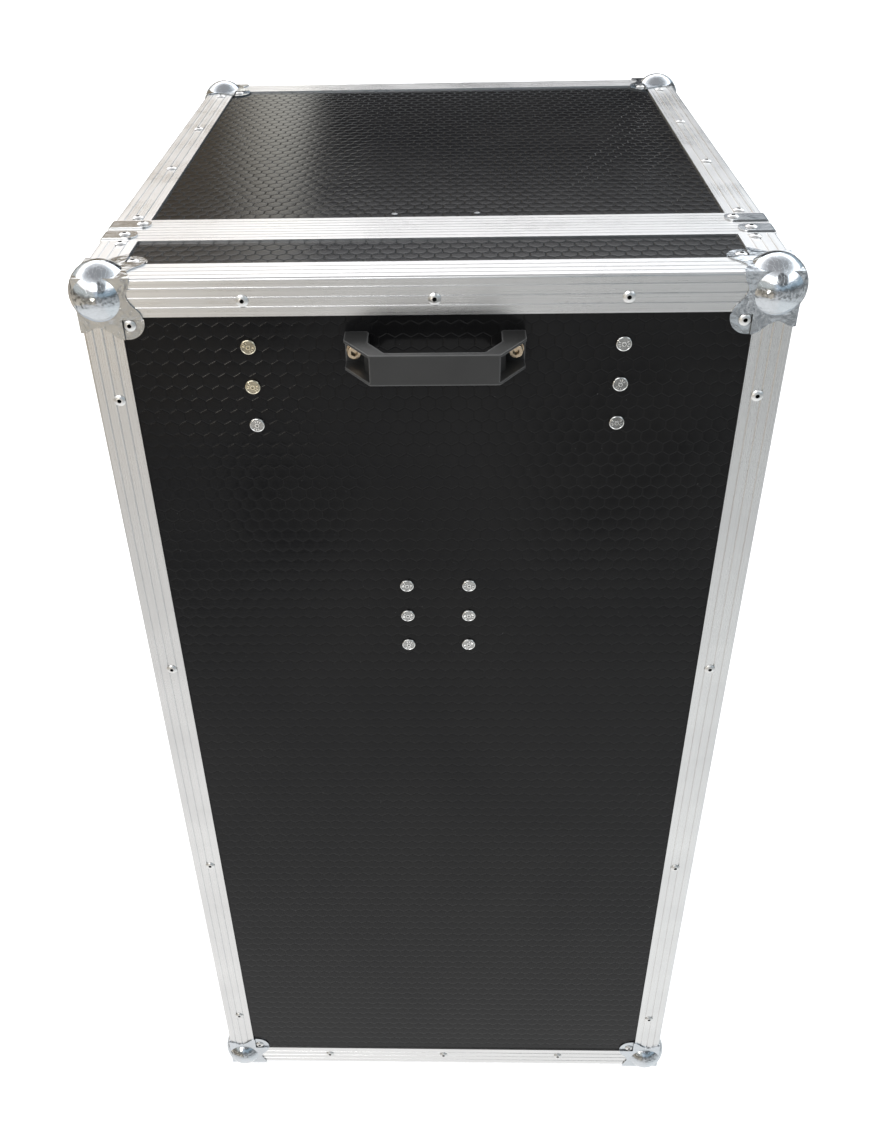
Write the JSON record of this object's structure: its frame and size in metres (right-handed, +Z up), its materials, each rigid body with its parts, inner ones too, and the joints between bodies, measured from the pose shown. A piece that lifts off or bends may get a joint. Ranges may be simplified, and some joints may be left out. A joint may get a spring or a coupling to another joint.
{
  "type": "equipment rack case",
  "caption": "Tall rack transport case with aluminium edges, ball corners, a lift-off front cover with bridge handle, recessed latches and side handles, and inner rack rails.",
  "frame": {"origin": "centre of the bounding box at the floor, under the rubber feet", "axes": "+Z up, -Y out of the front cover, +X to the right seen from the front"},
  "size_m": [0.5478, 0.6499, 1.059],
  "materials": {
    "phenolic_plywood": "black phenolic film embossed with small hexagons",
    "anodised_aluminium": "satin extrusion with fine drawn lines",
    "zinc_plated_steel": "bright zinc plate",
    "bright_plated_steel": "polished plate with light scuffs",
    "rivet_steel": "satin",
    "black_coated_steel": "black powder coat",
    "grey_die_casting": "graphite grey stove enamel",
    "screw_steel": "bright, warm",
    "lining_foam": "open-cell foam",
    "black_rubber": "matt"
  },
  "bodies": {
    "rack_body": {"body_top_panel": "phenolic_plywood", "body_bottom_panel": "phenolic_plywood", "body_left_panel": "phenolic_plywood", "body_right_panel": "phenolic_plywood", "body_back_panel": "phenolic_plywood", "body_side_angles": "anodised_aluminium", "back_angles_horizontal": "anodised_aluminium", "back_angles_vertical": "anodised_aluminium", "body_rim_horizontal": "anodised_aluminium", "body_rim_vertical": "anodised_aluminium", "body_straps": "zinc_plated_steel", "top_cleat": "zinc_plated_steel", "rack_rail_screws": "zinc_plated_steel", "cleat_screws": "zinc_plated_steel", "foot_screws": "zinc_plated_steel", "latch_dishes": "zinc_plated_steel", "handle_dishes": "zinc_plated_steel", "body_ball_corners": "bright_plated_steel", "body_rivets": "rivet_steel", "rack_rail_front_left": "black_coated_steel", "rack_rail_front_right": "black_coated_steel", "rack_rail_rear_left": "black_coated_steel", "rack_rail_rear_right": "black_coated_steel", "rubber_feet": "black_rubber"},
    "front_cover": {"cover_front_panel": "phenolic_plywood", "cover_top_wall": "phenolic_plywood", "cover_bottom_wall": "phenolic_plywood", "cover_left_wall": "phenolic_plywood", "cover_right_wall": "phenolic_plywood", "cover_angles_horizontal": "anodised_aluminium", "cover_angles_vertical": "anodised_aluminium", "cover_corner_angles": "anodised_aluminium", "cover_rim_horizontal": "anodised_aluminium", "cover_rim_vertical": "anodised_aluminium", "cover_straps": "zinc_plated_steel", "backing_strips": "zinc_plated_steel", "cover_bolts": "zinc_plated_steel", "cover_nuts": "zinc_plated_steel", "keeper_dishes": "zinc_plated_steel", "cover_ball_corners": "bright_plated_steel", "cover_rivets": "rivet_steel", "cover_handle": "grey_die_casting", "handle_screws": "screw_steel", "cover_foam": "lining_foam"},
    "turn_left_upper": {"latch_turn_left_upper": "zinc_plated_steel"},
    "wing_left_upper": {"latch_wing_left_upper": "zinc_plated_steel"},
    "hook_left_upper": {"latch_hook_left_upper": "zinc_plated_steel"},
    "bail_left_upper": {"handle_bail_left_upper": "bright_plated_steel"},
    "turn_left_lower": {"latch_turn_left_lower": "zinc_plated_steel"},
    "wing_left_lower": {"latch_wing_left_lower": "zinc_plated_steel"},
    "hook_left_lower": {"latch_hook_left_lower": "zinc_plated_steel"},
    "bail_left_lower": {"handle_bail_left_lower": "bright_plated_steel"},
    "turn_right_upper": {"latch_turn_right_upper": "zinc_plated_steel"},
    "wing_right_upper": {"latch_wing_right_upper": "zinc_plated_steel"},
    "hook_right_upper": {"latch_hook_right_upper": "zinc_plated_steel"},
    "bail_right_upper": {"handle_bail_right_upper": "bright_plated_steel"},
    "turn_right_lower": {"latch_turn_right_lower": "zinc_plated_steel"},
    "wing_right_lower": {"latch_wing_right_lower": "zinc_plated_steel"},
    "hook_right_lower": {"latch_hook_right_lower": "zinc_plated_steel"},
    "bail_right_lower": {"handle_bail_right_lower": "bright_plated_steel"}
  },
  "joints": [
    {"name": "cover_slide", "type": "slide", "parent": "rack_body", "child": "front_cover", "axis": [0, -1, 0], "range_m": [0, 0.35]},
    {"name": "latch_turn_left_upper", "type": "hinge", "parent": "rack_body", "child": "turn_left_upper", "pos_m": [-0.2585, -0.1415, 0.82], "axis": [-1, 0, 0], "range_deg": [0, 180]},
    {"name": "latch_wing_left_upper", "type": "hinge", "parent": "turn_left_upper", "child": "wing_left_upper", "pos_m": [-0.2631, -0.1415, 0.82], "axis": [0, 0, 1], "range_deg": [0, 90]},
    {"name": "latch_hook_left_upper", "type": "slide", "parent": "rack_body", "child": "hook_left_upper", "axis": [0, -1, 0], "range_m": [0, 0.0081]},
    {"name": "handle_bail_left_upper", "type": "hinge", "parent": "rack_body", "child": "bail_left_upper", "pos_m": [-0.257, 0.06825, 0.85], "axis": [0, 1, 0], "range_deg": [0, 90], "stiffness_Nm_per_rad": 0.1},
    {"name": "latch_turn_left_lower", "type": "hinge", "parent": "rack_body", "child": "turn_left_lower", "pos_m": [-0.2585, -0.1415, 0.246], "axis": [-1, 0, 0], "range_deg": [0, 180]},
    {"name": "latch_wing_left_lower", "type": "hinge", "parent": "turn_left_lower", "child": "wing_left_lower", "pos_m": [-0.2631, -0.1415, 0.246], "axis": [0, 0, 1], "range_deg": [0, 90]},
    {"name": "latch_hook_left_lower", "type": "slide", "parent": "rack_body", "child": "hook_left_lower", "axis": [0, -1, 0], "range_m": [0, 0.0081]},
    {"name": "handle_bail_left_lower", "type": "hinge", "parent": "rack_body", "child": "bail_left_lower", "pos_m": [-0.257, 0.06825, 0.276], "axis": [0, 1, 0], "range_deg": [0, 90], "stiffness_Nm_per_rad": 0.1},
    {"name": "latch_turn_right_upper", "type": "hinge", "parent": "rack_body", "child": "turn_right_upper", "pos_m": [0.2585, -0.1415, 0.82], "axis": [1, 0, 0], "range_deg": [0, 180]},
    {"name": "latch_wing_right_upper", "type": "hinge", "parent": "turn_right_upper", "child": "wing_right_upper", "pos_m": [0.2631, -0.1415, 0.82], "axis": [0, 0, -1], "range_deg": [0, 90]},
    {"name": "latch_hook_right_upper", "type": "slide", "parent": "rack_body", "child": "hook_right_upper", "axis": [0, -1, 0], "range_m": [0, 0.0081]},
    {"name": "handle_bail_right_upper", "type": "hinge", "parent": "rack_body", "child": "bail_right_upper", "pos_m": [0.257, 0.06825, 0.85], "axis": [0, -1, 0], "range_deg": [0, 90], "stiffness_Nm_per_rad": 0.1},
    {"name": "latch_turn_right_lower", "type": "hinge", "parent": "rack_body", "child": "turn_right_lower", "pos_m": [0.2585, -0.1415, 0.246], "axis": [1, 0, 0], "range_deg": [0, 180]},
    {"name": "latch_wing_right_lower", "type": "hinge", "parent": "turn_right_lower", "child": "wing_right_lower", "pos_m": [0.2631, -0.1415, 0.246], "axis": [0, 0, -1], "range_deg": [0, 90]},
    {"name": "latch_hook_right_lower", "type": "slide", "parent": "rack_body", "child": "hook_right_lower", "axis": [0, -1, 0], "range_m": [0, 0.0081]},
    {"name": "handle_bail_right_lower", "type": "hinge", "parent": "rack_body", "child": "bail_right_lower", "pos_m": [0.257, 0.06825, 0.276], "axis": [0, -1, 0], "range_deg": [0, 90], "stiffness_Nm_per_rad": 0.1}
  ],
  "couplings": [
    {"joint": "latch_hook_left_upper", "follows": "latch_turn_left_upper", "m_per_rad": 0.0025464},
    {"joint": "latch_hook_left_lower", "follows": "latch_turn_left_lower", "m_per_rad": 0.0025464},
    {"joint": "latch_hook_right_upper", "follows": "latch_turn_right_upper", "m_per_rad": 0.0025464},
    {"joint": "latch_hook_right_lower", "follows": "latch_turn_right_lower", "m_per_rad": 0.0025464}
  ]
}
